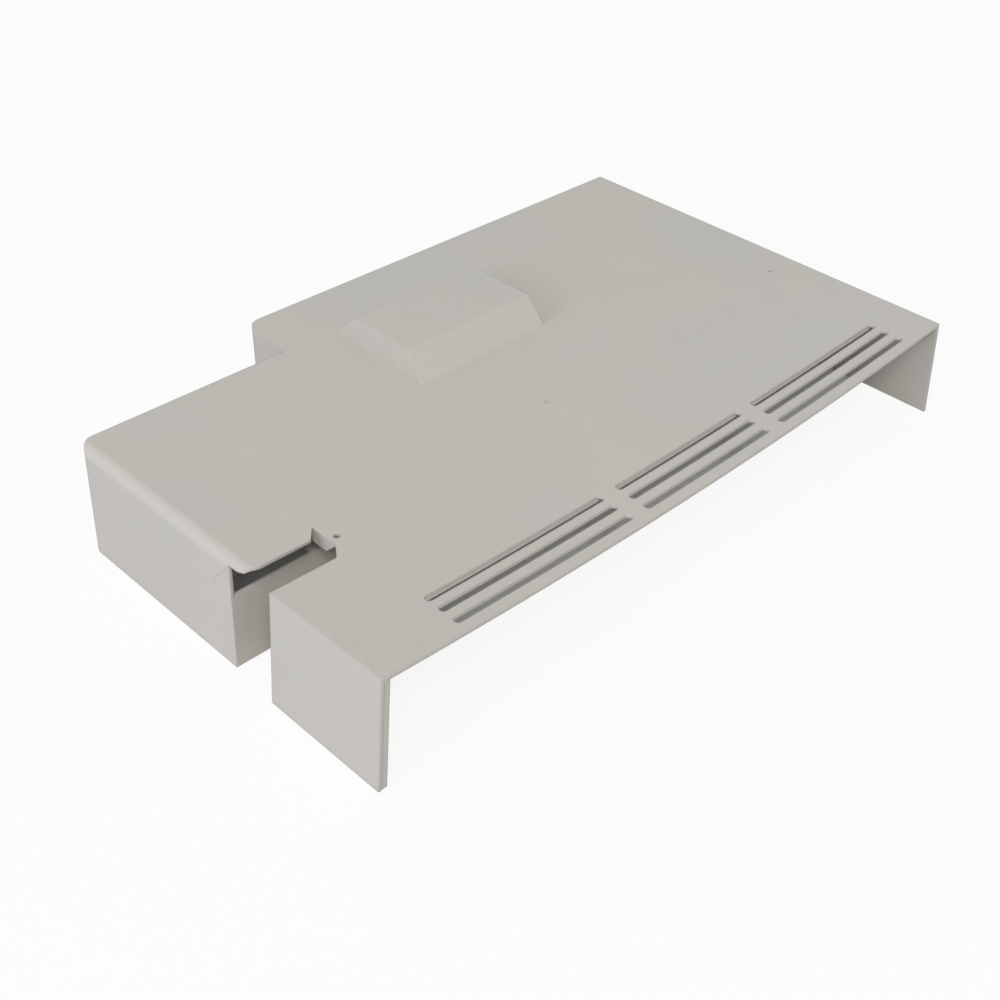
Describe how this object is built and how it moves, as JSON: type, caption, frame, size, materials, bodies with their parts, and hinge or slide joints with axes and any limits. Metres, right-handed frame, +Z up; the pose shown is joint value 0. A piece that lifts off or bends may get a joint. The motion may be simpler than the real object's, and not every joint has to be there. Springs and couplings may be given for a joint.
{
  "type": "evaporator cover",
  "caption": "Thin moulded cover, open below, with a louvred front, a raised lamp bump, down-turned sides and a stepped cable notch with a lowered window shelf.",
  "frame": {"origin": "centre of the bounding box at the level of the flange bottoms", "axes": "+X along the front edge to the right, +Y from the open front to the back, +Z up, out of the flat top"},
  "size_m": [0.5746, 0.354, 0.1032],
  "materials": {
    "plastic": "fine moulded grain"
  },
  "bodies": {
    "root": {"cover": "plastic"}
  },
  "joints": []
}
